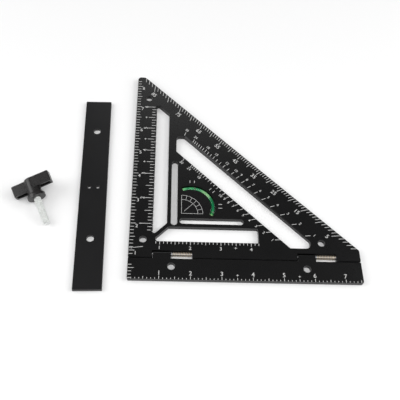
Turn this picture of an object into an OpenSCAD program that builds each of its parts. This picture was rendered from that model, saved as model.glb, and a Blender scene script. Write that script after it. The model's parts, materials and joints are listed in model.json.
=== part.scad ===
/* [Square] */
// Thickness of the square's plate and of its fence
plate_t = 4.2; // [3.6:0.1:6]
// Width of the square along its hinge line
square_w = 192.5; // [185:0.5:230]
// Depth from the fence's outer edge to the line where the folded fence stands
fold_depth = 25.4; // [25:0.1:30]
// Height of the plain end at the right, above the hinge line
heel_h = 10.2; // [9:0.1:14]
// Width of the blunt tip at the top
tip_flat = 7; // [5:0.5:8]
// Rounding of the tip
tip_r = 3; // [1:0.1:4]
// Rounding of the other outer corners
corner_r = 1.4; // [0.5:0.1:3]

/* [Marking slots] */
// Width of the rule left of the tall slot
rule_w = 19.2; // [17:0.1:22]
// Width of the tall slot
tall_slot_w = 11.9; // [10:0.1:12]
// Height where the middle of the corner web would meet the left edge
web_start = 18.2; // [17:0.1:19.5]
// Width of the slanted web between the tall slot and the low slot
web_w = 3.1; // [2.6:0.1:4.5]
// Width of the solid edge between the tall slot and the sloping edge
tall_slot_border = 14.7; // [13:0.1:18]
// Height of the low slot's lower edge above the fold line
low_slot_rise = 8.8; // [8:0.1:9.4]
// Height of the low slot
low_slot_h = 14.1; // [13:0.1:14.4]
// Gap between the low slot's right end and the slanted slot, along the hinge line
low_slot_gap = 8.1; // [7:0.1:20]
// Width of the scale between the slanted slot and the sloping edge
protractor_w = 23.1; // [22:0.1:26]
// Width of the slanted slot
slant_slot_w = 17.5; // [14:0.1:18]
// Width of the bevel along the slanted slot's upper edge
slant_bevel = 0.75; // [0.3:0.05:1.2]
// Width of the two narrow slots
narrow_slot_w = 5.5; // [4.8:0.1:5.8]
// Gap between the upright narrow slot and the slanted slot, along the left edge
upright_slot_gap = 8.8; // [7:0.1:20]
// Gap between the lying narrow slot and the slanted slot, along the hinge line
lying_slot_gap = 11.4; // [9:0.1:20]
// Rounding of the slots' corners
slot_r = 1.5; // [0.5:0.1:2]
// Spacing of the scribing notches along the tall slot
notch_pitch = 6.35; // [5:0.05:8]
// Radius of a scribing notch
scribe_r = 1.4; // [1:0.1:1.6]

/* [Holes] */
// Diameter of the through holes that take a bolt
hole_d = 6.35; // [5.5:0.05:6.6]
// Distance of the two left holes from the left edge
left_hole_x = 11.4; // [10:0.1:13]
// Height of the two lower holes above the fold line
low_hole_rise = 10.4; // [9:0.1:10.8]
// Distance of the tip's hole below the blunt tip
tip_hole_drop = 26.6; // [25:0.1:40]
// Distance of the heel's hole from the right edge
heel_hole_x = 31.3; // [30:0.1:34]

/* [Hinge] */
// Distance from the hinge's axis to the edge of the fence's long body
fence_edge_reach = 4.6; // [4.4:0.05:5.5]
// Gap between the plate and the fence along the hinge line
hinge_gap = 0.6; // [0.4:0.05:0.9]
// Distance of the left hinge's recess from the left edge
left_recess_x = 19.5; // [16:0.1:24]
// Distance of the right hinge's recess from the right edge
right_recess_x = 20.1; // [16:0.1:24]
// Length of a hinge recess
recess_l = 32.9; // [30:0.1:34]
// Length of a fence tongue
tongue_l = 14.7; // [12:0.1:16]
// Gap left of a tongue, where the fence is stopped by its pin
tongue_gap = 0.7; // [0.4:0.05:1]
// Way that the fence slides against its springs to unlock
unlock_travel = 2.5; // [1.5:0.1:3]
// Diameter of a hinge pin
pin_d = 2.4; // [1.8:0.05:2.5]
// Radial clearance of a hinge pin in its bores
pin_clearance = 0.06; // [0.03:0.01:0.1]
// Length of a pin inside the plate on the tongue's side
pin_grip = 9; // [6:0.1:12]
// Length of a pin inside the plate beyond its spring
pin_tail = 5; // [3:0.1:6]
// Length of the collar on a pin that carries its spring
collar_l = 0.9; // [0.6:0.1:1.5]
// Diameter of that collar
collar_d = 3.5; // [3.2:0.05:3.5]

/* [Springs] */
// Outer diameter of a spring
spring_d = 3.7; // [3.3:0.05:3.8]
// Diameter of the spring wire
wire_d = 0.5; // [0.3:0.05:0.5]
// Number of turns in a spring
spring_turns = 12; // [8:1:14]

/* [Fence] */
// Distance of the fence's holes from its outer edge
fence_hole_y = 11.6; // [8:0.1:13]
// Distance of the first fence hole from the left end
fence_hole_x = 35.2; // [30:0.1:40]
// Distance of the second fence hole from the right end
fence_hole_end = 45.7; // [40:0.1:55]

/* [Level vial] */
// Solid border between the vial and the upright narrow slot
vial_left_border = 3.3; // [2:0.1:8]
// Solid border between the vial and the lying narrow slot
vial_low_border = 2.4; // [2:0.1:6]
// Radius of the vial's bend, as a share of the side of the triangle that it lies in
vial_bend_share = 0.2775; // [0.25:0.0005:0.28]
// Outer diameter of the vial tube
vial_d = 4; // [3.2:0.05:4]
// Wall of the vial tube
vial_wall = 0.45; // [0.3:0.05:0.6]
// Angle where the vial starts, counted from the right
vial_from = -27; // [-28:1:-10]
// Angle that the vial spans
vial_span = 141; // [110:1:142]
// Length of a vial plug, as an angle
plug_span = 4; // [3:0.5:6]
// Angle where the bubble starts
bubble_from = 30; // [20:1:40]
// Angle that the bubble spans
bubble_span = 52; // [20:1:54]
// Clearance of the vial tube in its channel
vial_clearance = 0.06; // [0.04:0.01:0.15]

/* [Loose bar] */
// Width of the loose bar
bar_w = 23.2; // [22:0.1:26]
// Thickness of the loose bar
bar_t = 3; // [2:0.1:4]
// Distance of the bar's middle from the square's left edge
bar_gap = 33.3; // [30:0.1:36]
// Height of the bar's middle above the fold line
bar_rise = 61.1; // [55:0.1:70]
// Turn of the bar as it lies beside the square
bar_angle = 1.6; // [0:0.1:3]
// Diameter of the two small holes in the bar
small_hole_d = 3.2; // [2:0.1:4]
// Distance between the two small holes
small_hole_pitch = 7.4; // [6:0.1:10]

/* [Loose knob] */
// Distance of the knob's flange from the square's left edge
knob_gap = 78.9; // [76:0.1:90]
// Height of the knob's flange above the fold line
knob_rise = 45.5; // [40:0.1:52]
// Way that the knob's stud points, turned from straight down the page
knob_angle = 25; // [20:1:30]
// Span of the knob's wings
wing_span = 34.4; // [30:0.1:40]
// Height of the wings along the stud's axis
wing_h = 10; // [8:0.1:12]
// Thickness of a wing at its end
wing_end_t = 7.2; // [6:0.1:8]
// Thickness of a wing at the stud's axis, as a share of the hub's diameter
wing_root_share = 0.63; // [0.55:0.01:0.75]
// Sideways offset of a wing's end: the two wings lie on opposite sides of the axis
wing_offset = 1.2; // [0:0.1:1.8]
// Wall of a hollow wing
wing_wall = 1.5; // [1.2:0.1:1.8]
// Length of the hub between the wings and the flange's face
hub_l = 7.8; // [7:0.1:10]
// Diameter of the hub
hub_d = 12; // [11:0.1:13]
// Diameter of the flange
flange_d = 15.4; // [14:0.1:17]
// Thickness of the flange
flange_t = 2.6; // [2:0.1:3.5]
// Diameter of the stud
stud_d = 6; // [5:0.1:6.2]
// Length of the stud outside the flange
stud_l = 25; // [20:0.5:30]
// Length of the stud inside the knob
stud_grip = 12; // [8:0.1:14]
// Diameter of the stud's head inside the knob
stud_head_d = 7.6; // [6.6:0.1:8]
// Depth of that head under the flange's face
stud_head_depth = 1.5; // [1:0.1:3]
// Length of the stud's neck beside the flange
neck_l = 1; // [0.6:0.1:2]
// Diameter of that neck
neck_d = 5.2; // [4:0.1:5.8]

/* [Hidden] */
$fn = 48;

// One overrun for every cut
cut = 1;
// Clearance between faces that only touch
touch_clearance = 0.03;
// Clearance of a turning tongue inside its recess
turn_clearance = 0.25;
// Bevels along the hinge line: on top for the eye, below so that the fence can turn
top_bevel = 0.35;
under_bevel = 0.8;
// Segments in one rounded corner
corner_steps = 6;

// The hinge's axis lies half a thickness before the fold line, so the folded fence stands on it
hinge_y = fold_depth - plate_t / 2;
hinge_z = plate_t / 2;
fence_d = hinge_y - fence_edge_reach;
plate_y0 = fence_d + hinge_gap;
// Where the sloping edge would meet the left edge
slope_reach = plate_y0 + heel_h + square_w;
square_h = slope_reach - tip_flat;
// The part's origin is the hole beside the square's right-angled corner
low_hole_y = fold_depth + low_hole_rise;
origin_x = left_hole_x;
origin_y = low_hole_y;

// Two hinges: where each recess starts, and how far its bore runs beyond either side
recess_xs = [left_recess_x, square_w - right_recess_x - recess_l];
blind_grip = pin_grip + touch_clearance;
blind_tail = pin_tail + unlock_travel + touch_clearance;
bore_before = [left_recess_x + cut, blind_grip];
bore_after = [blind_tail, square_w - recess_xs[1] - recess_l + cut];
recess_top = hinge_y + plate_t / 2 + turn_clearance;

// A corner of an outline, rounded by an arc that touches both of its sides
function unit(v) = v / norm(v);
function arc_corner(before, at, after, r) =
    let (u = unit(before - at), v = unit(after - at), half = acos(u * v) / 2,
         centre = at + unit(u + v) * r / sin(half),
         start = at + u * r / tan(half) - centre, end = at + v * r / tan(half) - centre,
         from = atan2(start.y, start.x), to = atan2(end.y, end.x),
         away = to - from, turn = away - 360 * round(away / 360))
    [for (i = [0:corner_steps])
        centre + r * [cos(from + turn * i / corner_steps), sin(from + turn * i / corner_steps)]];
function rounded(corners) =
    let (n = len(corners))
    [for (i = [0:n - 1])
        let (c = corners[i], b = corners[(i + n - 1) % n], a = corners[(i + 1) % n])
        each arc_corner([b.x, b.y], [c.x, c.y], [a.x, a.y], c[2])];

// Everything is drawn from the fence's outer corner and then moved to the part's origin
module placed() translate([-origin_x, -origin_y, 0]) children();

// A slot with round ends, from its lower left corner
module round_slot(l, w) {
    translate([w / 2, 0, 0]) cube([l - w, w, plate_t + 2 * cut]);
    for (x = [w / 2, l - w / 2]) translate([x, w / 2, 0]) cylinder(d = w, h = plate_t + 2 * cut);
}

// A square bar on its edge: taken off along X, it leaves a bevel
module bevel_bar(l, b) rotate([45, 0, 0]) cube([l, b * sqrt(2), b * sqrt(2)], center = true);

module tall_slot() {
    left = rule_w;
    right = rule_w + tall_slot_w;
    foot = web_start + web_w / sqrt(2);
    head = slope_reach - tall_slot_border * sqrt(2);
    linear_extrude(plate_t + 2 * cut)
        polygon(rounded([[left, left + foot, slot_r], [right, right + foot, slot_r],
            [right, head - right, slot_r], [left, head - left, slot_r]]));
    first = ceil((left + foot + scribe_r + slot_r - fold_depth) / notch_pitch);
    last = floor((head - left - scribe_r - slot_r - fold_depth) / notch_pitch);
    for (i = [first:last])
        translate([left, fold_depth + i * notch_pitch, 0])
            cylinder(r = scribe_r, h = plate_t + 2 * cut, $fn = 24);
}

module low_slot() {
    low = fold_depth + low_slot_rise;
    high = low + low_slot_h;
    foot = web_start - web_w / sqrt(2);
    nose = low + 2 * slot_r;
    end = slant_low - high - low_slot_gap;
    linear_extrude(plate_t + 2 * cut)
        polygon(rounded([[nose - foot, nose, slot_r], [high - foot, high, slot_r],
            [end, high, slot_r], [end, low, slot_r],
            [nose - foot + slot_r, low, slot_r / 2]]));
}

// The slanted slot follows the sloping edge; its ends are cut square to the plate
slant_high = slope_reach - protractor_w * sqrt(2);
slant_low = slant_high - slant_slot_w * sqrt(2);
slant_left = rule_w + tall_slot_w + narrow_slot_w + slot_r - touch_clearance;
slant_bottom = recess_top + 1.1 * plate_t;
slant_nose = slant_slot_w / 2.4;
module slanted_slot() {
    right = slant_high - slant_bottom - slant_nose;
    top = slant_high - slant_left - slant_nose;
    linear_extrude(plate_t + 2 * cut)
        polygon(rounded([[slant_left, slant_low - slant_left, slot_r],
            [slant_left, top, 2 * slot_r], [slant_left + slant_nose, top, slot_r],
            [right, slant_bottom + slant_nose, 2 * slot_r], [right, slant_bottom, 3 * slot_r],
            [slant_low - slant_bottom, slant_bottom, slot_r / 2]]));
}

// The two narrow slots bound a triangle with the slanted slot, and the vial lies inside it
upright_x = rule_w + tall_slot_w + web_w;
upright_y = fold_depth + low_slot_rise + low_slot_h + slot_r;
upright_l = slant_low - upright_x - narrow_slot_w - upright_slot_gap - upright_y;
lying_x = upright_x + 4 / 3 * narrow_slot_w;
lying_y = fold_depth + low_slot_rise + low_slot_h + web_w;
lying_l = slant_low - lying_y - narrow_slot_w - lying_slot_gap - lying_x;
inner_x = upright_x + narrow_slot_w;
inner_y = lying_y + narrow_slot_w;

// The vial bends with that triangle's size, and its channel keeps two borders to the narrow slots
channel_w = vial_d + 2 * vial_clearance;
vial_bend_r = vial_bend_share * (slant_low - inner_x - inner_y);
channel_r = vial_bend_r + channel_w / 2;
vial_x = inner_x + vial_left_border - channel_r * cos(vial_from + vial_span);
vial_y = inner_y + vial_low_border - channel_r * sin(vial_from);

// The vial's channel goes right through the plate and is square at both ends
module arc_channel(w, from, span, h)
    rotate([0, 0, from]) rotate_extrude(angle = span, $fn = 96)
        translate([vial_bend_r - w / 2, 0]) square([w, h]);

module vial_place() translate([vial_x, vial_y, plate_t / 2]) children();

module square_plate() placed() color("#1d1d1f") difference() {
    linear_extrude(plate_t)
        polygon(rounded([[0, plate_y0, corner_r / 2], [0, square_h, tip_r],
            [tip_flat, square_h, tip_r], [square_w, slope_reach - square_w, corner_r],
            [square_w, plate_y0, corner_r / 2]]));
    translate([0, 0, -cut]) {
        tall_slot();
        low_slot();
        slanted_slot();
        translate([upright_x + narrow_slot_w, upright_y, 0]) rotate([0, 0, 90])
            round_slot(upright_l, narrow_slot_w);
        translate([lying_x, lying_y, 0]) round_slot(lying_l, narrow_slot_w);
        for (place = [[left_hole_x, low_hole_y], [left_hole_x, square_h - tip_hole_drop],
                [square_w - heel_hole_x, low_hole_y]])
            translate([place.x, place.y, 0]) cylinder(d = hole_d, h = plate_t + 2 * cut);
        for (x = recess_xs)
            translate([x, plate_y0 - cut, 0])
                cube([recess_l, recess_top - plate_y0 + cut, plate_t + 2 * cut]);
    }
    vial_place() translate([0, 0, -plate_t])
        arc_channel(channel_w, vial_from, vial_span, 2 * plate_t);
    for (i = [0:1])
        translate([recess_xs[i] - bore_before[i], hinge_y, hinge_z]) rotate([0, 90, 0])
            cylinder(r = pin_d / 2 + pin_clearance, h = bore_before[i] + recess_l + bore_after[i]);
    translate([square_w / 2, plate_y0, 0]) bevel_bar(square_w + 2 * cut, under_bevel);
    translate([square_w / 2, plate_y0, plate_t]) bevel_bar(square_w + 2 * cut, top_bevel);
    mid = (slant_high - slant_left + slant_bottom) / 2;
    translate([slant_high - mid, mid, plate_t]) rotate([0, 0, -45])
        bevel_bar((mid - slant_bottom - slant_nose) * 2 * sqrt(2), slant_bevel);
}

// The fence is bevelled along the hinge line, and its tongues end in a half round about the axis
module folding_fence() placed() color("#1b1b1d") difference() {
    union() {
        difference() {
            linear_extrude(plate_t)
                polygon(rounded([[0, 0, corner_r], [0, fence_d, corner_r / 2],
                    [square_w, fence_d, corner_r / 2], [square_w, 0, corner_r]]));
            translate([square_w / 2, fence_d, plate_t]) bevel_bar(square_w + 2 * cut, top_bevel);
        }
        for (x = recess_xs) translate([x + tongue_gap, 0, 0]) {
            translate([0, fence_d - cut, 0]) cube([tongue_l, fence_edge_reach + cut, plate_t]);
            translate([0, hinge_y, hinge_z]) rotate([0, 90, 0])
                cylinder(d = plate_t, h = tongue_l);
        }
    }
    for (x = recess_xs) translate([x + tongue_gap - cut, hinge_y, hinge_z]) rotate([0, 90, 0])
        cylinder(r = pin_d / 2 + pin_clearance, h = tongue_l + 2 * cut);
    for (x = [fence_hole_x, square_w - fence_hole_end])
        translate([x, fence_hole_y, -cut]) cylinder(d = hole_d, h = plate_t + 2 * cut);
}

// A pin runs from the plate through the tongue and the spring, and its collar takes the spring
module hinge_pin(i) placed() color("#b9bcc0")
    translate([recess_xs[i], hinge_y, hinge_z]) rotate([0, 90, 0]) {
        translate([0, 0, -pin_grip]) cylinder(d = pin_d, h = pin_grip + recess_l + pin_tail);
        translate([0, 0, tongue_gap + tongue_l + touch_clearance]) cylinder(d = collar_d, h = collar_l);
    }
module hinge_pin_left() hinge_pin(0);
module hinge_pin_right() hinge_pin(1);

// A spring is one tube of six sides that follows a helix about X
spring_r = (spring_d - wire_d) / 2;
spring_x0 = tongue_gap + tongue_l + collar_l + 2 * touch_clearance + wire_d / 2;
spring_l = recess_l - spring_x0 - touch_clearance - wire_d / 2;
spring_steps = 8;
spring_sides = 6;
spring_rings = spring_turns * spring_steps;
function spring_at(i) =
    [spring_l * i / spring_rings, spring_r * cos(360 * i / spring_steps), spring_r * sin(360 * i / spring_steps)];
function spring_ring(i) =
    let (turn = 360 * i / spring_steps, out = [0, cos(turn), sin(turn)],
         along = unit([spring_l / spring_rings, -spring_r * sin(turn) * 2 * PI / spring_steps,
             spring_r * cos(turn) * 2 * PI / spring_steps]),
         side = cross(along, out))
    [for (k = [0:spring_sides - 1])
        spring_at(i) + wire_d / 2 * (cos(360 * k / spring_sides) * out + sin(360 * k / spring_sides) * side)];
spring_points = [for (i = [0:spring_rings]) each spring_ring(i)];
spring_faces = concat(
    [[for (k = [0:spring_sides - 1]) k]],
    [for (i = [0:spring_rings - 1], k = [0:spring_sides - 1])
        let (a = i * spring_sides + k, b = i * spring_sides + (k + 1) % spring_sides)
        each [[a, a + spring_sides, b], [b, a + spring_sides, b + spring_sides]]],
    [[for (k = [spring_sides - 1:-1:0]) spring_rings * spring_sides + k]]);
spring_least_gap = min([for (i = [0:spring_rings - spring_steps], j = [i + spring_steps - 2:spring_rings])
    norm(spring_at(i) - spring_at(j))]) - wire_d;
echo(spring_least_gap = spring_least_gap);

module hinge_spring(i) placed() color("#b6ac9c")
    translate([recess_xs[i] + spring_x0, hinge_y, hinge_z])
        polyhedron(spring_points, spring_faces, convexity = 10);
module hinge_spring_left() hinge_spring(0);
module hinge_spring_right() hinge_spring(1);

// The vial is a bent clear tube with a plug in each end, full but for its bubble
vial_bore_r = vial_d / 2 - vial_wall;
vial_fill_r = vial_bore_r - touch_clearance;
// Share of the bore's height that the bubble leaves to the liquid
bubble_floor_share = 0.3;
bubble_floor = vial_fill_r * (2 * bubble_floor_share - 1);
vial_gap_angle = touch_clearance / vial_bend_r * 180 / PI;

module bent_rod(r, from, span)
    rotate([0, 0, from]) rotate_extrude(angle = span, $fn = 96) translate([vial_bend_r, 0])
        circle(r = r, $fn = 32);

module vial_tube() placed() color("#bfe3c4", 0.5) vial_place() difference() {
    bent_rod(vial_d / 2, vial_from + vial_gap_angle, vial_span - 2 * vial_gap_angle);
    bent_rod(vial_bore_r, vial_from - 1, vial_span + 2);
}

module vial_plug(from) placed() color("#9fd6a8") vial_place() bent_rod(vial_fill_r, from, plug_span);
module vial_plug_low() vial_plug(vial_from + vial_gap_angle);
module vial_plug_high() vial_plug(vial_from + vial_span - vial_gap_angle - plug_span);

// The bubble's space: the bore's upper part over the bubble's angle
module bubble_space(grow)
    rotate([0, 0, bubble_from - grow * vial_gap_angle])
        rotate_extrude(angle = bubble_span + 2 * grow * vial_gap_angle, $fn = 96)
            translate([vial_bend_r - vial_bore_r, bubble_floor - grow * touch_clearance])
                square([2 * vial_bore_r, 2 * vial_bore_r]);

module vial_liquid() placed() color("#2f9e57", 0.8) vial_place() difference() {
    bent_rod(vial_fill_r, vial_from + plug_span + 2 * vial_gap_angle,
        vial_span - 2 * plug_span - 4 * vial_gap_angle);
    bubble_space(1);
}

module vial_bubble() placed() color("#c9ecd0", 0.6) vial_place() intersection() {
    bent_rod(vial_fill_r, bubble_from, bubble_span);
    bubble_space(0);
}

// The loose bar has the fence's length and hole spacing
module loose_bar() placed() color("#202022")
    translate([-bar_gap, fold_depth + bar_rise, 0]) rotate([0, 0, bar_angle]) difference() {
        translate([-bar_w / 2, -square_w / 2, 0]) cube([bar_w, square_w, bar_t]);
        for (y = [square_w / 2 - fence_hole_x, fence_hole_end - square_w / 2])
            translate([0, y, -cut]) cylinder(d = hole_d, h = bar_t + 2 * cut);
        for (x = [-small_hole_pitch / 2, small_hole_pitch / 2])
            translate([x, 0, -cut]) cylinder(d = small_hole_d, h = bar_t + 2 * cut);
    }

// The knob lies on its flange's rim, its stud's end and the corner of one wing
knob_tilt = atan((flange_d - stud_d) / 2 / stud_l);
wing_drop = flange_d / 2 + hub_l * tan(knob_tilt);
wings_t = wing_end_t + 2 * wing_offset;
wing_diagonal = norm([wing_span, wings_t]) / 2;
knob_roll = asin(wing_drop / wing_diagonal) - atan(wings_t / wing_span);
module knob_place()
    translate([-knob_gap, fold_depth + knob_rise, flange_d / 2 * cos(knob_tilt)])
        rotate([0, 0, knob_angle]) rotate([90 + knob_tilt, 0, 0]) rotate([0, 0, knob_roll]) children();

// The knob is drawn with its flange's face at zero and its stud upwards
wing_corner_r = wing_wall / 1.5;
hub_crown = wing_h / 8;

// Each wing has one face nearly flush with the hub, and tapers from there to its end
wing_reach = wing_span / 2 - wing_corner_r;
wing_root_offset = hub_d / 2 * (1 - wing_root_share) - hub_crown / 8;
function wing_half(x) = (hub_d * wing_root_share * (1 - x / wing_reach)
    + wing_end_t * x / wing_reach) / 2;
function wing_middle(x) = wing_root_offset + (wing_offset - wing_root_offset) * x / wing_reach;
module wing_block(shrink, near, far, h, edge)
    hull() for (x = [near, far], s = [-1, 1]) {
        translate([x, wing_middle(x) + s * (wing_half(x) - shrink - wing_corner_r), 0]) {
            cylinder(r = wing_corner_r, h = h - edge, $fn = 16);
            cylinder(r = wing_corner_r - edge, h = h, $fn = 16);
        }
    }

module knob_handle() placed() knob_place() color("#26262a") difference() {
    union() {
        rotate_extrude() polygon([[0, -hub_l - wing_h - hub_crown],
            [hub_d / 4, -hub_l - wing_h - hub_crown], [hub_d / 2 - hub_crown / 2, -hub_l - wing_h],
            [hub_d / 2, -hub_l - wing_h + hub_crown], [hub_d / 2, -flange_t - hub_crown],
            [hub_d / 2 - hub_crown / 2, -flange_t - hub_crown / 2], [hub_d / 2 - hub_crown / 2, -flange_t],
            [flange_d / 2, -flange_t], [flange_d / 2, 0], [0, 0]]);
        for (s = [0, 180]) rotate([0, 0, s]) translate([0, 0, -hub_l]) mirror([0, 0, 1])
            wing_block(0, 0, wing_reach, wing_h, wing_corner_r / 2);
    }
    for (s = [0, 180]) rotate([0, 0, s]) translate([0, 0, -hub_l + cut]) mirror([0, 0, 1])
        wing_block(wing_wall, hub_d / 2 + wing_wall, wing_reach - wing_wall,
            cut + wing_h - 2 * wing_wall, 0);
    translate([0, 0, -stud_grip - touch_clearance]) cylinder(r = stud_head_d / 2 + touch_clearance,
        h = stud_grip - stud_head_depth + 2 * touch_clearance);
    translate([0, 0, -stud_head_depth])
        cylinder(r = neck_d / 2 + touch_clearance, h = stud_head_depth + cut);
}

// The knob is moulded round the stud's thick head, and its neck shows beside the flange
stud_bevel = stud_d / 10;
module knob_stud() placed() knob_place() color("#c7c9cc") {
    translate([0, 0, -stud_grip]) cylinder(d = stud_head_d, h = stud_grip - stud_head_depth);
    translate([0, 0, -stud_head_depth]) cylinder(d = neck_d, h = stud_head_depth + neck_l);
    translate([0, 0, neck_l]) cylinder(d = stud_d, h = stud_l - stud_bevel - neck_l);
    translate([0, 0, stud_l - stud_bevel])
        cylinder(d1 = stud_d, d2 = stud_d - 2 * stud_bevel, h = stud_bevel);
}

square_plate();
folding_fence();
hinge_pin_left();
hinge_pin_right();
hinge_spring_left();
hinge_spring_right();
vial_tube();
vial_plug_low();
vial_plug_high();
vial_liquid();
vial_bubble();
loose_bar();
knob_handle();
knob_stud();
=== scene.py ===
import json
from math import atan, atan2, cos, pi, radians, sin

import bmesh
import bpy
from mathutils import Matrix, Vector


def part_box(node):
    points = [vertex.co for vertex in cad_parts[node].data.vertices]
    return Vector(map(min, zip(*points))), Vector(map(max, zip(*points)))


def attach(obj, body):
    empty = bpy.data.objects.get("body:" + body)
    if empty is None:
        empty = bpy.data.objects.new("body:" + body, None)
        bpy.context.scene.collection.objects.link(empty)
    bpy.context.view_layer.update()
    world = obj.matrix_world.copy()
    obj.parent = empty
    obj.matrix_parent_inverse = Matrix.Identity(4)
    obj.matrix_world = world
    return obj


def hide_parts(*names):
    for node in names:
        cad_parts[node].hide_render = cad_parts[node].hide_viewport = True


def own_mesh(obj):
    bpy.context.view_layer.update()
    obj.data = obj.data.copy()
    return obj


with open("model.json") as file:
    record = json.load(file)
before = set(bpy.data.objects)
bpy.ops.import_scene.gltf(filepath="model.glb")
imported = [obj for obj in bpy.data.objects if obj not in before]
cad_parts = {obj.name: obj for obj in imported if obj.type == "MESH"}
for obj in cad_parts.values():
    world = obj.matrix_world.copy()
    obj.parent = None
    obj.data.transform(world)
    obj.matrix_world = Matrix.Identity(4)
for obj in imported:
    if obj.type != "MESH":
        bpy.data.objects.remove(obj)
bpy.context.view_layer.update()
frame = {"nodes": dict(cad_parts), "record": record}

# Its angles and distance were solved from the inch scales, so a millimetre on the tool has
# the size in the picture that it has in the photograph.
view_azimuth, view_elevation, view_roll = radians(-6.514), radians(57.899), radians(7.118)
view_target, view_distance = Vector((0.04772, 0.03951, 0.0042)), 0.5292
picture_px, focal_px = 400, 611.5
forward = Vector((-sin(view_azimuth) * cos(view_elevation),
                  cos(view_azimuth) * cos(view_elevation), -sin(view_elevation)))
level_right = forward.cross(Vector((0, 0, 1))).normalized()
level_up = level_right.cross(forward)
right = cos(view_roll) * level_right + sin(view_roll) * level_up
up = cos(view_roll) * level_up - sin(view_roll) * level_right
camera = bpy.data.objects.new("camera", bpy.data.cameras.new("camera"))
camera.data.sensor_width = 36
camera.data.lens = camera.data.sensor_width * focal_px / picture_px
camera.data.clip_start = 0.01
camera.matrix_world = (Matrix.Translation(view_target - forward * view_distance)
                       @ Matrix((right, up, -forward)).transposed().to_4x4())
bpy.context.collection.objects.link(camera)
bpy.context.scene.camera = camera

# The square: one plate of 4.2 mm aluminium, milled through for its slots, notches and holes.
# It is bead-blasted before it is anodised black, which leaves a fine even grain, and the
# cutter's edges are broken so that they catch a thin line of light.
edge_break = 0.00018
grain_size, grain_depth = 0.00022, 0.000007
clouds_per_m, cloud_share = 45.0, 0.25
weld_dist, flat_within = 2e-6, radians(0.5)
black_low, black_high = (0.0026, 0.0026, 0.0028, 1), (0.0046, 0.0046, 0.0048, 1)


def add_node(tree, kind, inputs=None, **settings):
    """A node with its settings. An input is linked where it is given a socket, and set otherwise."""
    made = tree.nodes.new(kind)
    for name, value in settings.items():
        setattr(made, name, value)
    for key, value in (inputs or {}).items():
        if isinstance(value, bpy.types.NodeSocket):
            tree.links.new(value, made.inputs[key])
        else:
            made.inputs[key].default_value = value
    return made


def new_finish(name, **values):
    """A material, with its shader's own sockets set by their names."""
    finish = bpy.data.materials.new(name)
    finish.use_nodes = True
    shader = finish.node_tree.nodes["Principled BSDF"]
    for socket, value in values.items():
        shader.inputs[socket.replace("_", " ")].default_value = value
    return finish, finish.node_tree, shader


def ramp_between(tree, factor, low, high, start=0.35, end=0.65):
    """A smooth change from one colour to another as the factor goes from start to end."""
    ramp = add_node(tree, "ShaderNodeValToRGB", {"Fac": factor})
    ramp.color_ramp.elements[0].position, ramp.color_ramp.elements[0].color = start, low
    ramp.color_ramp.elements[1].position, ramp.color_ramp.elements[1].color = end, high
    return ramp.outputs["Color"]


def blasted_black(name, low, high, smooth, rough):
    """Anodised aluminium: a fine blasted grain, with faint cloudy changes of its black."""
    finish, tree, shader = new_finish(name, Metallic=0.0, Specular_IOR_Level=0.4)
    place = add_node(tree, "ShaderNodeTexCoord").outputs["Object"]
    grain = add_node(tree, "ShaderNodeTexNoise", {"Vector": place, "Scale": 1 / grain_size,
                                                  "Detail": 2.0, "Roughness": 0.6})
    cloud = add_node(tree, "ShaderNodeTexNoise", {"Vector": place, "Scale": clouds_per_m,
                                                  "Detail": 3.0})
    mixed = add_node(tree, "ShaderNodeMath", {0: grain.outputs["Fac"], 1: cloud.outputs["Fac"]},
                     operation="MULTIPLY_ADD")
    mixed.inputs[2].default_value = cloud_share
    tree.links.new(ramp_between(tree, mixed.outputs[0], low, high, start=0.3, end=0.7),
                   shader.inputs["Base Color"])
    sheen = add_node(tree, "ShaderNodeMapRange", {
        "Value": grain.outputs["Fac"], "From Min": 0.3, "From Max": 0.7,
        "To Min": smooth, "To Max": rough})
    tree.links.new(sheen.outputs["Result"], shader.inputs["Roughness"])
    bump = add_node(tree, "ShaderNodeBump", {"Height": grain.outputs["Fac"], "Strength": 0.5,
                                             "Distance": grain_depth})
    tree.links.new(bump.outputs["Normal"], shader.inputs["Normal"])
    return finish


def new_piece(name, mesh, finish, body):
    """A finished mesh in its place: it rides on its body and takes the finish it is given, if any."""
    piece = bpy.data.objects.new(name, mesh)
    bpy.context.collection.objects.link(piece)
    if finish is not None:
        mesh.materials.clear()
        mesh.materials.append(finish)
    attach(piece, body)
    return piece


def as_modified(source):
    """The mesh that an object's modifiers give. The object itself isn't kept."""
    bpy.context.view_layer.update()
    seen = source.evaluated_get(bpy.context.evaluated_depsgraph_get())
    mesh = bpy.data.meshes.new_from_object(seen)
    bpy.data.objects.remove(source)
    return mesh


def broken_edges(node, width, steps=2, sharp=35):
    """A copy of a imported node's mesh whose edges are broken by a small rounding."""
    mesh = frame["nodes"][node].data.copy()
    mesh.materials.clear()
    work = bmesh.new()
    work.from_mesh(mesh)
    bmesh.ops.remove_doubles(work, verts=work.verts, dist=weld_dist)
    bmesh.ops.dissolve_limit(work, angle_limit=flat_within, verts=work.verts, edges=work.edges)
    work.to_mesh(mesh)
    work.free()
    source = bpy.data.objects.new(node + "_edges", mesh)
    bpy.context.collection.objects.link(source)
    mesh.shade_smooth()
    bevel = source.modifiers.new("broken edges", "BEVEL")
    bevel.width, bevel.segments = width, steps
    bevel.limit_method, bevel.angle_limit = "ANGLE", radians(sharp)
    flats = source.modifiers.new("flat faces", "WEIGHTED_NORMAL")
    flats.weight = 100
    return as_modified(source)


anodised = blasted_black("black anodised", black_low, black_high, smooth=0.25, rough=0.34)
plate = new_piece("milled_plate", broken_edges("square_plate", edge_break), anodised,
                  "square")
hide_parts("square_plate")

# The folding fence: cut from the same aluminium as the square, and blasted and anodised with it.
# Its two half-round tongues turn on the hinge pins.
fence = new_piece("milled_fence", broken_edges("folding_fence", edge_break), anodised,
                  "fence")
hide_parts("folding_fence")

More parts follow.
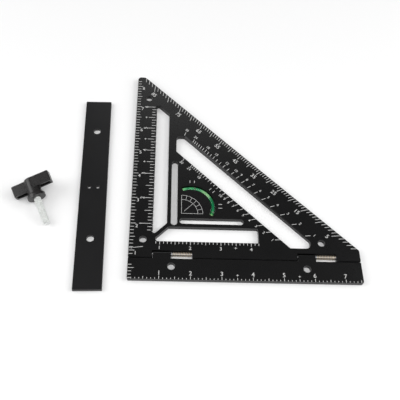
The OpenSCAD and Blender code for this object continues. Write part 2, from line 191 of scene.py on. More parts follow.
# The scales: every line is burnt into the black by a laser, which leaves a pale grey stroke
# that is a little rough and speckled. A stroke is four tenths of a millimetre wide.
inch = 0.0254
stroke_w, stroke_t = 0.00042, 0.00002
speckles_per_m = 7000.0
laser_dark, laser_pale = (0.42, 0.42, 0.415, 1), (0.78, 0.78, 0.77, 1)
outer_corner = Vector(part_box("folding_fence")[0][:2])
face_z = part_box("square_plate")[1][2]


def laser_grey():
    """The pale stroke of a laser, with the speckle that the blasted grain leaves in it."""
    finish, tree, shader = new_finish("laser grey", Roughness=0.8, Specular_IOR_Level=0.2)
    place = add_node(tree, "ShaderNodeTexCoord").outputs["Object"]
    speckle = add_node(tree, "ShaderNodeTexNoise", {"Vector": place, "Scale": speckles_per_m,
                                                    "Detail": 1.0})
    tree.links.new(ramp_between(tree, speckle.outputs["Fac"], laser_dark, laser_pale),
                   shader.inputs["Base Color"])
    return finish


def stroke_tree():
    """Geometry Nodes: one thin stroke on each point, turned and stretched as the point says."""
    tree = bpy.data.node_groups.new("laser strokes", "GeometryNodeTree")
    for name, kind in (("Points", "NodeSocketGeometry"), ("Stroke width", "NodeSocketFloat"),
                       ("Stroke height", "NodeSocketFloat"), ("Finish", "NodeSocketMaterial")):
        tree.interface.new_socket(name, in_out="INPUT", socket_type=kind)
    tree.interface.new_socket("Strokes", in_out="OUTPUT", socket_type="NodeSocketGeometry")
    given = tree.nodes.new("NodeGroupInput").outputs

    def read(name):
        found = add_node(tree, "GeometryNodeInputNamedAttribute", {"Name": name}, data_type="FLOAT")
        return next(output for output in found.outputs if output.enabled)

    block = add_node(tree, "GeometryNodeMeshCube")
    from_end = add_node(tree, "GeometryNodeTransform", {"Geometry": block.outputs["Mesh"],
                                                        "Translation": (0.5, 0, 0.5)})
    turn = add_node(tree, "ShaderNodeCombineXYZ", {"Z": read("turn")})
    rotation = add_node(tree, "FunctionNodeEulerToRotation", {"Euler": turn.outputs[0]})
    size = add_node(tree, "ShaderNodeCombineXYZ", {"X": read("reach"), "Y": given["Stroke width"],
                                                   "Z": given["Stroke height"]})
    strokes = add_node(tree, "GeometryNodeInstanceOnPoints", {
        "Points": given["Points"], "Instance": from_end.outputs["Geometry"],
        "Rotation": rotation.outputs["Rotation"], "Scale": size.outputs[0]})
    real = add_node(tree, "GeometryNodeRealizeInstances",
                    {"Geometry": strokes.outputs["Instances"]})
    painted = add_node(tree, "GeometryNodeSetMaterial", {"Geometry": real.outputs["Geometry"],
                                                         "Material": given["Finish"]})
    add_node(tree, "NodeGroupOutput", {"Strokes": painted.outputs["Geometry"]})
    return tree


def set_inputs(modifier, **values):
    """Sets a tree's inputs by their identifiers, found by their names."""
    for socket in modifier.node_group.interface.items_tree:
        key = socket.name.replace(" ", "_").lower()
        if socket.in_out == "INPUT" and key in values:
            modifier[socket.identifier] = values[key]


def burn_strokes(name, strokes, body, width=stroke_w):
    """A piece of strokes, each given as its start in inches from the outer corner, its turn and
    its length in inches."""
    points = bpy.data.meshes.new(name + "_points")
    points.from_pydata([(*(outer_corner + inch * Vector(stroke[0])), face_z) for stroke in strokes],
                       [], [])
    for key, values in (("turn", [stroke[1] for stroke in strokes]),
                        ("reach", [stroke[2] * inch for stroke in strokes])):
        points.attributes.new(key, "FLOAT", "POINT").data.foreach_set("value", values)
    source = bpy.data.objects.new(name + "_points", points)
    bpy.context.collection.objects.link(source)
    modifier = source.modifiers.new("strokes", "NODES")
    modifier.node_group = laser_strokes
    set_inputs(modifier, stroke_width=width, stroke_height=stroke_t, finish=laser)
    return new_piece(name, as_modified(source), None, body)


laser, laser_strokes = laser_grey(), stroke_tree()
straight_up, leftwards, downwards = pi / 2, pi, -pi / 2


def eighths(first, last, place, turn, short, half, whole):
    """The ticks of an inch scale in eighths. place gives where a number of inches lies."""
    return [(place(i / 8), turn, whole if i % 8 == 0 else half if i % 4 == 0 else short)
            for i in range(first, last + 1)]


# The fence's own scale runs along its outer edge from 0 to 7 and a half inches, with five ticks on
# its left end that carry on the rule of the plate.
edge_gap = 0.01
fence_ticks = (0.045, 0.082, 0.105)
end_tick_from, end_tick_pitch, end_tick, long_end_tick = 0.035, 0.1145, 0.115, 0.19
fence_strokes = eighths(1, 60, lambda x: (x, edge_gap), straight_up, *fence_ticks)
fence_strokes += [((edge_gap, end_tick_from + end_tick_pitch * i), 0,
                   long_end_tick if i == 3 else end_tick) for i in range(5)]
burn_strokes("fence_scale", fence_strokes, "fence")

# The plate's inch scales: the outer rule up the left edge, the inner one that starts from the
# folded fence, and the one under the low slot. Each quarter inch of the inner one has a scribing
# notch, and its tick stops at the notch's rim.
notch_depth = 0.055
inner_edge, low_edge = 0.744, 1.343
outer_ticks, inner_ticks, low_ticks = (0.13, 0.175, 0.185), (0.16, 0.28, 0.315), (0.085, 0.11, 0.12)
plate_strokes = eighths(7, 66, lambda y: (edge_gap, y), 0, *outer_ticks)
inner_strokes = eighths(14, 56, lambda y: (inner_edge, y), leftwards, *inner_ticks)
plate_strokes += [((x - notch_depth, y), turn, reach - notch_depth)
                  for (x, y), turn, reach in inner_strokes[::2]]
plate_strokes += inner_strokes[1::2]
plate_strokes += eighths(7, 34, lambda x: (x, low_edge), downwards, *low_ticks)

# The degree scale: rays of one degree from the pivot at the corner, drawn only beside the
# sloping edge, with a longer one at every five degrees.
slope_sum = 8.735
degree_tick, fifth_degree_tick = 0.2, 0.333
degree_pivot, rafter_pivot = (0.055, 1.10), (-0.03, 1.18)


def ray_stroke(pivot, angle, from_sum, to_sum):
    """A stroke along a ray between two lines that run beside the sloping edge. Such a line is
    given as the sum of its two distances from the outer corner, in inches."""
    pace = cos(angle) + sin(angle)
    start, end = ((line - sum(pivot)) / pace for line in (from_sum, to_sum))
    return ((pivot[0] + start * cos(angle), pivot[1] + start * sin(angle)), angle, end - start)


for degree in range(1, 89):
    tick = fifth_degree_tick if degree % 5 == 0 else degree_tick
    plate_strokes.append(ray_stroke(degree_pivot, radians(degree), slope_sum - tick,
                                    slope_sum - edge_gap))

# The two rafter scales on either side of the slanted slot: each ray rises by a whole number
# of inches over a fixed run, and the numbered ones are drawn longer.
upper_run, lower_run = 12, 15.5
upper_from, upper_to, upper_numbered_to = 7.498, 7.66, 7.69
lower_numbered_from, lower_from, lower_to = 6.29, 6.33, 6.472
rises = list(range(1, 25)) + [30]
upper_numbered = [1, 2, 3, 4, 5, 6, 7, 8, 9, 10, 12, 15, 18, 24, 30]
lower_numbered = [1, 2, 3, 4, 5, 6, 7, 8, 9, 10, 18, 24, 30]
for rise in rises:
    upper_end = upper_numbered_to if rise in upper_numbered else upper_to
    plate_strokes.append(ray_stroke(rafter_pivot, atan(rise / upper_run), upper_from, upper_end))
    lower_start = lower_numbered_from if rise in lower_numbered else lower_from
    plate_strokes.append(ray_stroke(rafter_pivot, atan(rise / lower_run), lower_start, lower_to))

# The pivot's pointer and the six reference ticks round the level vial.
pointer_y, pointer_turn, pointer_l = 1.077, 0.135, 0.46
top_ticks, top_tick_l = ((1.985, 3.65), (2.14, 3.65)), 0.1
side_ticks, side_tick_l = ((2.95, 2.66), (2.95, 2.81)), 0.13
slant_ticks, slant_tick_l = ((2.65, 3.38), (2.76, 3.27)), 0.11
plate_strokes += [((edge_gap, pointer_y), pointer_turn, pointer_l)]
plate_strokes += [(spot, straight_up, top_tick_l) for spot in top_ticks]
plate_strokes += [(spot, 0, side_tick_l) for spot in side_ticks]
plate_strokes += [(spot, pi / 4, slant_tick_l) for spot in slant_ticks]

burn_strokes("plate_scales", plate_strokes, "square")

# Inside the vial's bend is a plain quarter circle of two arcs, burnt with a finer stroke. It has a
# tick at every 15 degrees, and the one in its middle runs on towards the eye as a pointer.
fine_stroke_w = 0.00026
arc_eye, arc_radii, arc_steps = (1.70, 2.42), (0.55, 0.72), 18
arc_step = pi / 2 / arc_steps
arc_ticks, pointer_from = (pi / 12, pi / 6, pi / 3, 5 * pi / 12), 0.12


def on_arc(radius, turn):
    """The place at a turn on an arc about the eye, in inches."""
    return (arc_eye[0] + radius * cos(turn), arc_eye[1] + radius * sin(turn))


dial_strokes = [(on_arc(radius, i * arc_step), (i + 0.5) * arc_step + pi / 2,
                 2 * radius * sin(arc_step / 2)) for radius in arc_radii for i in range(arc_steps)]
dial_strokes += [(on_arc(arc_radii[0], turn), turn, arc_radii[1] - arc_radii[0])
                 for turn in arc_ticks]
dial_strokes += [(arc_eye, turn, arc_radii[1]) for turn in (0, pi / 2)]
dial_strokes += [(on_arc(pointer_from, pi / 4), pi / 4, arc_radii[1] - pointer_from)]
burn_strokes("plate_quarter_circle", dial_strokes, "square", fine_stroke_w)

# The numbers of the scales, burnt with the strokes: upright along the fence and up the left
# rule, lying along the inner rule, and beside the slope turned to its line.
fence_digit_h, rule_digit_h, low_digit_h, degree_digit_h, rafter_digit_h = 0.15, 0.13, 0.125, 0.15, 0.1
font_size, digit_weight, digit_steps = 1.4, 0.012, 3
star_reach, star_waist = 0.05, 0.014


def burn_numbers(name, numbers, stars, body):
    """A piece of numbers, each given as its text, its middle in inches, its turn and its height,
    and of small four-pointed stars, each given as its middle."""
    work = bmesh.new()
    for text, middle, turn, height in numbers:
        curve = bpy.data.curves.new("digits", "FONT")
        curve.body, curve.size, curve.offset = text, font_size, digit_weight
        curve.align_x, curve.align_y, curve.resolution_u = "CENTER", "CENTER", digit_steps
        holder = bpy.data.objects.new("digits", curve)
        bpy.context.collection.objects.link(holder)
        bpy.context.view_layer.update()
        flat = holder.to_mesh()
        xs, ys = [v.co.x for v in flat.vertices], [v.co.y for v in flat.vertices]
        scale = height * inch / (max(ys) - min(ys))
        centring = (-(max(xs) + min(xs)) / 2, -(max(ys) + min(ys)) / 2, 0)
        spot = outer_corner + inch * Vector(middle)
        flat.transform(Matrix.Translation((*spot, face_z + stroke_t))
                       @ Matrix.Rotation(turn, 4, "Z") @ Matrix.Scale(scale, 4)
                       @ Matrix.Translation(centring))
        work.from_mesh(flat)
        holder.to_mesh_clear()
        bpy.data.objects.remove(holder)
    for middle in stars:
        corners = []
        for i in range(8):
            reach = star_reach if i % 2 == 0 else star_waist
            way = Vector((cos(i * pi / 4), sin(i * pi / 4)))
            spot = outer_corner + inch * (Vector(middle) + reach * way)
            corners.append(work.verts.new((*spot, face_z + stroke_t)))
        work.faces.new(corners)
    sides = bmesh.ops.extrude_face_region(work, geom=work.faces[:])
    lowered = [item for item in sides["geom"] if isinstance(item, bmesh.types.BMVert)]
    bmesh.ops.translate(work, verts=lowered, vec=(0, 0, -stroke_t))
    bmesh.ops.recalc_face_normals(work, faces=work.faces)
    mesh = bpy.data.meshes.new(name)
    work.to_mesh(mesh)
    work.free()
    return new_piece(name, mesh, laser, body)


fence_number_y, fence_stars = 0.222, [(3.5, 0.18), (5.5, 0.18)]
burn_numbers("fence_numbers", [(str(n), (n, fence_number_y), 0, fence_digit_h) for n in range(1, 8)],
             fence_stars, "fence")

slope_turn = -pi / 4
rule_number_x, rule_number_drop = 0.225, 0.095
inner_number_x, inner_zero = 0.368, 1.0
low_number_shift, low_number_y = 0.01, 1.115
degree_number_sum, upper_number_sum, lower_number_sum = 8.24, 7.84, 6.2
plate_stars = [(0.38, 4.5), (0.38, 5.5), (0.38, 6.5), (3.48, 1.15), (0.1, 1.09)]


def ray_spot(pivot, angle, line_sum):
    """Where a ray from the pivot meets a line beside the sloping edge."""
    return ray_stroke(pivot, angle, line_sum, line_sum)[0]


plate_numbers = [(str(n), (rule_number_x, n - rule_number_drop), 0, rule_digit_h)
                 for n in range(1, 9)]
plate_numbers += [(str(n), (inner_number_x, n + inner_zero), straight_up, rule_digit_h)
                  for n in range(1, 7)]
plate_numbers += [(str(n), (n - low_number_shift, low_number_y), 0, low_digit_h)
                  for n in range(1, 5)]
plate_numbers += [(str(n), ray_spot(degree_pivot, radians(n), degree_number_sum), slope_turn,
                   degree_digit_h) for n in range(5, 90, 10)]
plate_numbers += [(str(n), ray_spot(rafter_pivot, atan(n / upper_run), upper_number_sum),
                   slope_turn, rafter_digit_h) for n in upper_numbered]
plate_numbers += [(str(n), ray_spot(rafter_pivot, atan(n / lower_run), lower_number_sum),
                   slope_turn, rafter_digit_h) for n in lower_numbered]
burn_numbers("plate_numbers", plate_numbers, plate_stars, "square")

# The hinge pins: ground steel rods that lie in long bores of the plate and carry the fence.
# A collar on each takes its spring, and only the stretch in the open window can be seen.
pin_edge = 0.0001
line_dark_share, line_rough = 0.72, 0.2


def ground_steel(name, colour, rough, metal=1.0, lines_per_m=(9000, 400, 400)):
    """Steel with fine lines of its grinding. As the pins lie along X, theirs run round them."""
    finish, tree, shader = new_finish(name, Metallic=metal)
    place = add_node(tree, "ShaderNodeTexCoord").outputs["Object"]
    along = add_node(tree, "ShaderNodeMapping", {"Vector": place, "Scale": lines_per_m})
    lines = add_node(tree, "ShaderNodeTexNoise", {"Vector": along.outputs["Vector"], "Scale": 1.0,
                                                  "Detail": 2.0})
    dark = (*(line_dark_share * part for part in colour), 1)
    tree.links.new(ramp_between(tree, lines.outputs["Fac"], dark, (*colour, 1)),
                   shader.inputs["Base Color"])
    gloss = add_node(tree, "ShaderNodeMapRange", {"Value": lines.outputs["Fac"], "To Min": rough,
                                                  "To Max": rough + line_rough})
    tree.links.new(gloss.outputs["Result"], shader.inputs["Roughness"])
    return finish


pin_finish = ground_steel("ground pin steel", (0.42, 0.42, 0.43), rough=0.36)
for side in ("left", "right"):
    pin = new_piece("turned_pin_" + side, broken_edges("hinge_pin_" + side, pin_edge), pin_finish,
                    "hinge_pins")
    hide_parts("hinge_pin_" + side)

# The hinge springs: hard-drawn wire of half a millimetre, wound in twelve turns, with a faint
# straw colour from its heat treatment. Each pushes its pin's collar to the left.
wire_r, spring_turns = 0.00025, 12
turn_steps, wire_sides = 28, 12


def spring_tree():
    """Geometry Nodes: a round wire that follows a helix along X."""
    tree = bpy.data.node_groups.new("wound wire", "GeometryNodeTree")
    for name, kind in (("Turns", "NodeSocketFloat"), ("Coil radius", "NodeSocketFloat"),
                       ("Coil length", "NodeSocketFloat"), ("Wire radius", "NodeSocketFloat"),
                       ("Start", "NodeSocketVector"), ("Finish", "NodeSocketMaterial")):
        tree.interface.new_socket(name, in_out="INPUT", socket_type=kind)
    tree.interface.new_socket("Spring", in_out="OUTPUT", socket_type="NodeSocketGeometry")
    given = tree.nodes.new("NodeGroupInput").outputs
    helix = add_node(tree, "GeometryNodeCurveSpiral", {
        "Resolution": turn_steps, "Rotations": given["Turns"], "Start Radius": given["Coil radius"],
        "End Radius": given["Coil radius"], "Height": given["Coil length"]})
    section = add_node(tree, "GeometryNodeCurvePrimitiveCircle",
                       {"Resolution": wire_sides, "Radius": given["Wire radius"]})
    wire = add_node(tree, "GeometryNodeCurveToMesh", {"Curve": helix.outputs[0],
                                                      "Profile Curve": section.outputs[0],
                                                      "Fill Caps": True})
    laid = add_node(tree, "GeometryNodeTransform", {"Geometry": wire.outputs[0],
                                                    "Translation": given["Start"],
                                                    "Rotation": (0, pi / 2, 0)})
    smooth = add_node(tree, "GeometryNodeSetShadeSmooth", {"Geometry": laid.outputs[0]})
    real = add_node(tree, "GeometryNodeRealizeInstances", {"Geometry": smooth.outputs[0]})
    painted = add_node(tree, "GeometryNodeSetMaterial", {"Geometry": real.outputs["Geometry"],
                                                         "Material": given["Finish"]})
    add_node(tree, "NodeGroupOutput", {"Spring": painted.outputs["Geometry"]})
    return tree


wound_wire = spring_tree()
spring_finish = ground_steel("straw spring steel", (0.76, 0.64, 0.48), rough=0.34, metal=0.8)
for side in ("left", "right"):
    low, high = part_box("hinge_spring_" + side)
    coil_l, coil_r = high[0] - low[0] - 2 * wire_r, (high[1] - low[1]) / 2 - wire_r
    middle_y, middle_z = (low[1] + high[1]) / 2, (low[2] + high[2]) / 2
    source = bpy.data.objects.new("spring", bpy.data.meshes.new("spring"))
    bpy.context.collection.objects.link(source)
    modifier = source.modifiers.new("wire", "NODES")
    modifier.node_group = wound_wire
    set_inputs(modifier, turns=float(spring_turns), coil_radius=coil_r, coil_length=coil_l,
               wire_radius=wire_r, start=(low[0] + wire_r, middle_y, middle_z),
               finish=spring_finish)
    spring = new_piece("wound_spring_" + side, as_modified(source), None, "square")
    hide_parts("hinge_spring_" + side)
    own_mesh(spring)

# The level vial: a clear plastic tube bent to a quarter circle and more, closed by a plug at each
# end and filled with green spirit but for its bubble. It lies in a channel through the plate.
vial_joint = next(joint for joint in frame["record"]["behaviour"]["joints"]
                  if joint["name"] == "bubble_travel")
vial_middle = Vector(vial_joint["pos_m"])
vial_from, vial_to = radians(-27), radians(114)
film, rod_steps, rod_sides, rod_sharp = 0.00004, 64, 20, radians(40)
vial_edge = 0.00005
fill_clouds_per_m, fill_dark, fill_light = 900.0, 0.82, 1.15


def ramp_of(tree, factor, stops):
    """A colour ramp with any number of stops, each given as its position and its colour."""
    ramp = add_node(tree, "ShaderNodeValToRGB", {"Fac": factor})
    elements = ramp.color_ramp.elements
    while len(elements) < len(stops):
        elements.new(0.5)
    for element, (position, colour) in zip(elements, stops):
        element.position, element.color = position, (*colour, 1)
    return ramp.outputs["Color"]


def green_fill(name, stops, **values):
    """A green that changes along the vial's bend as its stops give; for the spirit and the bubble
    these stops are painted highlights and painted shade. The share of the bend is given back too, for
    what else changes along it."""
    finish, tree, shader = new_finish(name, **values)
    place = add_node(tree, "ShaderNodeTexCoord").outputs["Object"]
    from_middle = add_node(tree, "ShaderNodeVectorMath", {0: place, 1: tuple(vial_middle)},
                           operation="SUBTRACT")
    parts = add_node(tree, "ShaderNodeSeparateXYZ", {"Vector": from_middle.outputs["Vector"]})
    angle = add_node(tree, "ShaderNodeMath", {0: parts.outputs["Y"], 1: parts.outputs["X"]},
                     operation="ARCTAN2")
    share = add_node(tree, "ShaderNodeMapRange", {"Value": angle.outputs[0], "From Min": vial_from,
                                                  "From Max": vial_to}).outputs["Result"]
    cloud = add_node(tree, "ShaderNodeTexNoise", {"Vector": place, "Scale": fill_clouds_per_m,
                                                  "Detail": 2.0})
    tint = add_node(tree, "ShaderNodeMapRange", {"Value": cloud.outputs["Fac"],
                                                 "To Min": fill_dark, "To Max": fill_light})
    shaded = add_node(tree, "ShaderNodeVectorMath",
                      {0: ramp_of(tree, share, stops), 1: tint.outputs["Result"]},
                      operation="MULTIPLY")
    tree.links.new(shaded.outputs["Vector"], shader.inputs["Base Color"])
    return finish, tree, shader, share


def spirit_mesh():
    """The spirit as a whole bent rod, a film thinner than its bore, so that the bubble shows over
    it wherever it lies."""
    corners = [vertex.co - vial_middle for vertex in frame["nodes"]["vial_liquid"].data.vertices]
    reaches, turns = [c.xy.length for c in corners], [atan2(c.y, c.x) for c in corners]
    bend_r, rod_r = (max(reaches) + min(reaches)) / 2, (max(reaches) - min(reaches)) / 2 - film
    work = bmesh.new()
    circles = []
    for i in range(rod_steps + 1):
        turn = min(turns) + (max(turns) - min(turns)) * i / rod_steps
        circle = []
        for j in range(rod_sides):
            side = 2 * pi * j / rod_sides
            reach = bend_r + rod_r * cos(side)
            spoke = Vector((reach * cos(turn), reach * sin(turn), rod_r * sin(side)))
            circle.append(work.verts.new(vial_middle + spoke))
        circles.append(circle)
    for lower, upper in zip(circles, circles[1:]):
        for j in range(rod_sides):
            after = (j + 1) % rod_sides
            work.faces.new((lower[j], upper[j], upper[after], lower[after]))
    work.faces.new(circles[0])
    work.faces.new(list(reversed(circles[-1])))
    bmesh.ops.recalc_face_normals(work, faces=work.faces)
    mesh = bpy.data.meshes.new("vial_spirit")
    work.to_mesh(mesh)
    work.free()
    mesh.shade_smooth()
    mesh.set_sharp_from_angle(angle=rod_sharp)
    return mesh


# The spirit's stops are painted light over its own green: the pale stretches are painted highlights
# and the darkest ones painted shade.
spirit_painted_light_stops = [(0.0, (0.2, 0.5, 0.15)), (0.06, (0.04, 0.33, 0.11)), (0.12, (0.03, 0.33, 0.12)),
                (0.2, (0.006, 0.22, 0.08)), (0.33, (0.025, 0.21, 0.08)), (0.4, (0.05, 0.32, 0.12)),
                (0.5, (0.02, 0.28, 0.1)), (0.76, (0.04, 0.32, 0.12)), (0.83, (0.065, 0.5, 0.16)),
                (0.89, (0.02, 0.25, 0.09)), (0.93, (0.07, 0.42, 0.16)), (0.97, (0.28, 0.8, 0.38))]
# The bubble's bright stretch is a painted highlight, the white below seen through the air; past it the
# stops go back to the spirit's green.
bubble_painted_highlight_stops = [(0.4, (0.16, 0.45, 0.2)), (0.45, (0.45, 0.8, 0.4)), (0.55, (0.4, 0.75, 0.34)),
                (0.62, (0.26, 0.6, 0.28)), (0.66, (0.03, 0.33, 0.12)), (0.77, (0.03, 0.33, 0.12))]
plug_stops = [(0.0, (0.3, 0.6, 0.2)), (1.0, (0.32, 0.72, 0.28))]
spirit_finish = green_fill("green spirit", spirit_painted_light_stops, Roughness=0.12, Specular_IOR_Level=0.4)[0]
spirit = new_piece("vial_spirit", spirit_mesh(), spirit_finish, "square")
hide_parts("vial_liquid")
air_finish = green_fill("air over spirit", bubble_painted_highlight_stops, Roughness=0.08, Specular_IOR_Level=0.6)[0]
bubble = new_piece("vial_air_bubble", broken_edges("vial_bubble", vial_edge), air_finish, "bubble")
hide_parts("vial_bubble")
plug_finish = green_fill("green plug", plug_stops, Roughness=0.3, Specular_IOR_Level=0.4)[0]
for end in ("low", "high"):
    plug = new_piece("vial_" + end + "_plug", broken_edges("vial_plug_" + end, vial_edge),
                     plug_finish, "square")
    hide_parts("vial_plug_" + end)

# The bent tube shows the spirit's green over its whole width, as clear tubes do, and carries two thin
# brown-red rings; the higher one is painted shade, the dark line at the end of the bubble where it
# rests.
ring_half, tube_alpha, ring_alpha = 0.0035, 0.14, 0.9
low_ring, high_ring = 0.076, 0.757
# The high ring's dark red is painted shade: the dark line of the bubble's meniscus, painted onto the
# tube.
tube_green, low_ring_brown, meniscus_shade_red = (0.012, 0.2, 0.07), (0.05, 0.09, 0.03), (0.1, 0.035, 0.02)
tube_stops = [(0.0, (0.1, 0.35, 0.1)), (0.03, tube_green)]
alpha_stops = []
for ring, colour in ((low_ring, low_ring_brown), (high_ring, meniscus_shade_red)):
    tube_stops += [(ring - 2 * ring_half, tube_green), (ring - ring_half, colour),
                   (ring + ring_half, colour), (ring + 2 * ring_half, tube_green)]
    alpha_stops += [(ring - 2 * ring_half, (tube_alpha,) * 3),
                    (ring - ring_half, (ring_alpha,) * 3),
                    (ring + ring_half, (ring_alpha,) * 3),
                    (ring + 2 * ring_half, (tube_alpha,) * 3)]
tube_finish, tube_tree, tube_shader, along_tube = green_fill(
    "tinted bent tube", tube_stops, Roughness=0.08, Specular_IOR_Level=0.8)
tube_tree.links.new(ramp_of(tube_tree, along_tube, alpha_stops), tube_shader.inputs["Alpha"])
tube = new_piece("bent_vial_tube", broken_edges("vial_tube", vial_edge), tube_finish, "square")
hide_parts("vial_tube")

# The loose bar: a flat strip of the same blasted and anodised aluminium, cut to the fence's
# length and drilled to match its holes.
bar_low, bar_high = (0.005, 0.005, 0.0054, 1), (0.0085, 0.0084, 0.009, 1)
bar_finish = blasted_black("black anodised bar", bar_low, bar_high, smooth=0.3, rough=0.4)
bar = new_piece("drilled_bar", broken_edges("loose_bar", edge_break), bar_finish, "bar")
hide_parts("loose_bar")

# The wing knob: moulded in one piece from black glass-filled plastic, hollow under its wings, with
# softened edges and the faint orange peel of its mould.
knob_edge, knob_edge_steps, knob_edge_angle = 0.0006, 4, 30
peel_per_m, patches_per_m, peel_depth = 1400.0, 110.0, 0.00004
knob_low, knob_high = (0.0085, 0.0078, 0.0078, 1), (0.016, 0.0147, 0.0147, 1)


def moulded_black():
    """Satin moulded plastic, brownish black, with the mould's faint unevenness."""
    finish, tree, shader = new_finish("moulded black", Specular_IOR_Level=0.42)
    place = add_node(tree, "ShaderNodeTexCoord").outputs["Object"]
    peel = add_node(tree, "ShaderNodeTexNoise", {"Vector": place, "Scale": peel_per_m,
                                                 "Detail": 3.0})
    cloud = add_node(tree, "ShaderNodeTexNoise", {"Vector": place, "Scale": patches_per_m,
                                                  "Detail": 2.0})
    tree.links.new(ramp_between(tree, cloud.outputs["Fac"], knob_low, knob_high),
                   shader.inputs["Base Color"])
    gloss = add_node(tree, "ShaderNodeMapRange", {"Value": peel.outputs["Fac"], "To Min": 0.2,
                                                  "To Max": 0.38})
    tree.links.new(gloss.outputs["Result"], shader.inputs["Roughness"])
    bump = add_node(tree, "ShaderNodeBump", {"Height": peel.outputs["Fac"], "Strength": 0.35,
                                             "Distance": peel_depth})
    tree.links.new(bump.outputs["Normal"], shader.inputs["Normal"])
    return finish


knob = new_piece("moulded_knob",
                 broken_edges("knob_handle", knob_edge, knob_edge_steps, knob_edge_angle),
                 moulded_black(), "knob")
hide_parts("knob_handle")

# The knob's stud: bright zinc-plated steel with a rolled M6 thread. Its thick head is moulded
# into the hub, its bare neck shows beside the flange, and its end is chamfered.
thread_pitch, thread_depth, crest_share = 0.001, 0.0006, 0.12
thread_rows_per_turn, thread_columns = 10, 40
neck_r, neck_l, head_r, head_depth = 0.0026, 0.001, 0.0038, 0.0015
chamfer, stud_sharp = 0.0006, radians(40)
stud_mount = next(mount for mount in frame["record"]["mounts"] if mount["name"] == "knob_stud")
stud_spot, stud_axis = Vector(stud_mount["pos_m"]), Vector(stud_mount["axis"]).normalized()
stud_r = stud_mount["dims"]["r_mm"] / 1000
stud_heights = [(vertex.co - stud_spot).dot(stud_axis)
                for vertex in frame["nodes"]["knob_stud"].data.vertices]
stud_foot, stud_end = min(stud_heights), max(stud_heights)
thread_from = -stud_mount["dims"]["length_mm"] / 2000
flange_face = thread_from - neck_l


def groove(height, turn):
    """How deep the thread is at a height and a turn round the stud, as a share of its depth."""
    phase = (height / thread_pitch - turn / (2 * pi)) % 1
    depth = max(0, 1 - abs(2 * phase - 1) / (1 - crest_share))
    run_in = min(1, (height - thread_from) / thread_pitch)
    run_out = min(1, (stud_end - height) / thread_pitch)
    return depth * max(0, run_in) * max(0, run_out)


def threaded_stud():
    """The stud's mesh: rings from its head to its end, with the thread sunk into the long part."""
    rows = round((stud_end - chamfer - thread_from) / thread_pitch * thread_rows_per_turn)
    rings = [(stud_foot, head_r), (flange_face - head_depth, head_r),
             (flange_face - head_depth, neck_r), (thread_from, neck_r)]
    rings += [(thread_from + (stud_end - chamfer - thread_from) * i / rows, stud_r)
              for i in range(rows + 1)]
    rings += [(stud_end, stud_r - chamfer)]
    upright = Vector((0, 0, 1)).rotation_difference(stud_axis).to_matrix()
    work = bmesh.new()
    circles = []
    for height, radius in rings:
        circle = []
        for i in range(thread_columns):
            turn = 2 * pi * i / thread_columns
            depth = thread_depth * groove(height, turn) if radius == stud_r else 0
            spoke = Vector(((radius - depth) * cos(turn), (radius - depth) * sin(turn), height))
            circle.append(work.verts.new(stud_spot + upright @ spoke))
        circles.append(circle)
    for lower, upper in zip(circles, circles[1:]):
        for i in range(thread_columns):
            after = (i + 1) % thread_columns
            work.faces.new((lower[i], lower[after], upper[after], upper[i]))
    work.faces.new(list(reversed(circles[0])))
    work.faces.new(circles[-1])
    mesh = bpy.data.meshes.new("plated_stud")
    work.to_mesh(mesh)
    work.free()
    mesh.shade_smooth()
    mesh.set_sharp_from_angle(angle=stud_sharp)
    return mesh


stud_finish = ground_steel("bright zinc", (0.93, 0.95, 0.93), rough=0.26, metal=0.5,
                           lines_per_m=(1500, 1500, 1500))
stud = new_piece("plated_stud", threaded_stud(), stud_finish, "knob")
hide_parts("knob_stud")

table_half, table_z, fade_from, fade_to = 3.0, -0.00003, 0.4, 0.9
table_corners = [(x * table_half, y * table_half, table_z)
                 for x, y in ((-1, -1), (1, -1), (1, 1), (-1, 1))]
table_mesh = bpy.data.meshes.new("table")
table_mesh.from_pydata(table_corners, [], [(0, 1, 2, 3)])
table = bpy.data.objects.new("table", table_mesh)
bpy.context.collection.objects.link(table)
white, white_tree, white_shader = new_finish("white sheet", Roughness=0.9, Specular_IOR_Level=0.0,
                                             Base_Color=(0.93, 0.93, 0.93, 1))
behind = add_node(white_tree, "ShaderNodeNewGeometry").outputs["Backfacing"]
sheet_place = add_node(white_tree, "ShaderNodeTexCoord").outputs["Object"]
reach = add_node(white_tree, "ShaderNodeVectorMath", {0: sheet_place}, operation="LENGTH")
fade = add_node(white_tree, "ShaderNodeMapRange", {"Value": reach.outputs["Value"],
                                                   "From Min": fade_from, "From Max": fade_to},
                interpolation_type="SMOOTHSTEP")
looked_at = add_node(white_tree, "ShaderNodeLightPath").outputs["Is Camera Ray"]
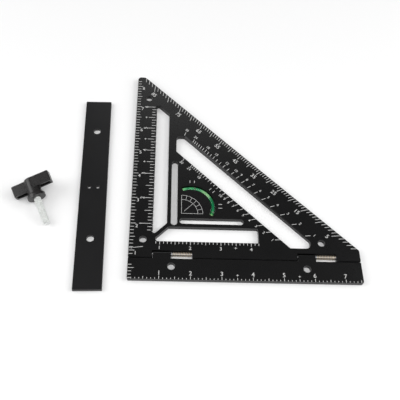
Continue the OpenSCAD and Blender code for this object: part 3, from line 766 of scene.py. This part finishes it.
faded = add_node(white_tree, "ShaderNodeMath", {0: fade.outputs["Result"], 1: looked_at},
                 operation="MULTIPLY")
hidden = add_node(white_tree, "ShaderNodeMath", {0: faded.outputs[0], 1: behind},
                  operation="MAXIMUM")
see_through = add_node(white_tree, "ShaderNodeBsdfTransparent")
sided = add_node(white_tree, "ShaderNodeMixShader", {
    0: hidden.outputs[0], 1: white_shader.outputs[0], 2: see_through.outputs[0]})
white_tree.links.new(sided.outputs[0], white_tree.nodes["Material Output"].inputs["Surface"])
table_mesh.materials.append(white)

# The light: a dim room that looks white, a broad soft box on either side and one overhead, and
# a weak one behind the tip that gives the upper part of the black plate its sheen.
room_light, room_look = 0.08, 1.0
box_size, side_watts, overhead_watts = 1.1, 11.9, 10.4
tip_lamp_size, tip_watts = 0.6, 1.8
kit_middle, tip_place = (0.02, 0.03, 0), (0.05, 0.1, 0)
world = bpy.data.worlds.new("white room")
world.use_nodes = True
room = world.node_tree
backdrop = room.nodes["Background"]
backdrop.inputs["Color"].default_value = (1, 1, 1, 1)
seen = add_node(room, "ShaderNodeLightPath").outputs["Is Camera Ray"]
level = add_node(room, "ShaderNodeMapRange", {"Value": seen, "To Min": room_light,
                                              "To Max": room_look})
room.links.new(level.outputs["Result"], backdrop.inputs["Strength"])
bpy.context.scene.world = world


def soft_lamp(name, place, aim, size, watts):
    """A square soft lamp that stands at a place and points at another."""
    light = bpy.data.lights.new(name, "AREA")
    light.shape, light.size, light.energy = "SQUARE", size, watts
    lamp = bpy.data.objects.new(name, light)
    lamp.location = place
    lamp.rotation_euler = (Vector(aim) - Vector(place)).to_track_quat("-Z", "Y").to_euler()
    bpy.context.collection.objects.link(lamp)


soft_lamp("left box", (-1.15, 0.05, 0.8), kit_middle, box_size, side_watts)
soft_lamp("right box", (1.2, 0.05, 0.8), kit_middle, box_size, side_watts)
soft_lamp("overhead box", (0.02, -0.42, 1.3), kit_middle, box_size, overhead_watts)
soft_lamp("behind the tip", (0.1, 1.3, 0.95), tip_place, tip_lamp_size, tip_watts)

bpy.context.scene.view_settings.view_transform = "Standard"
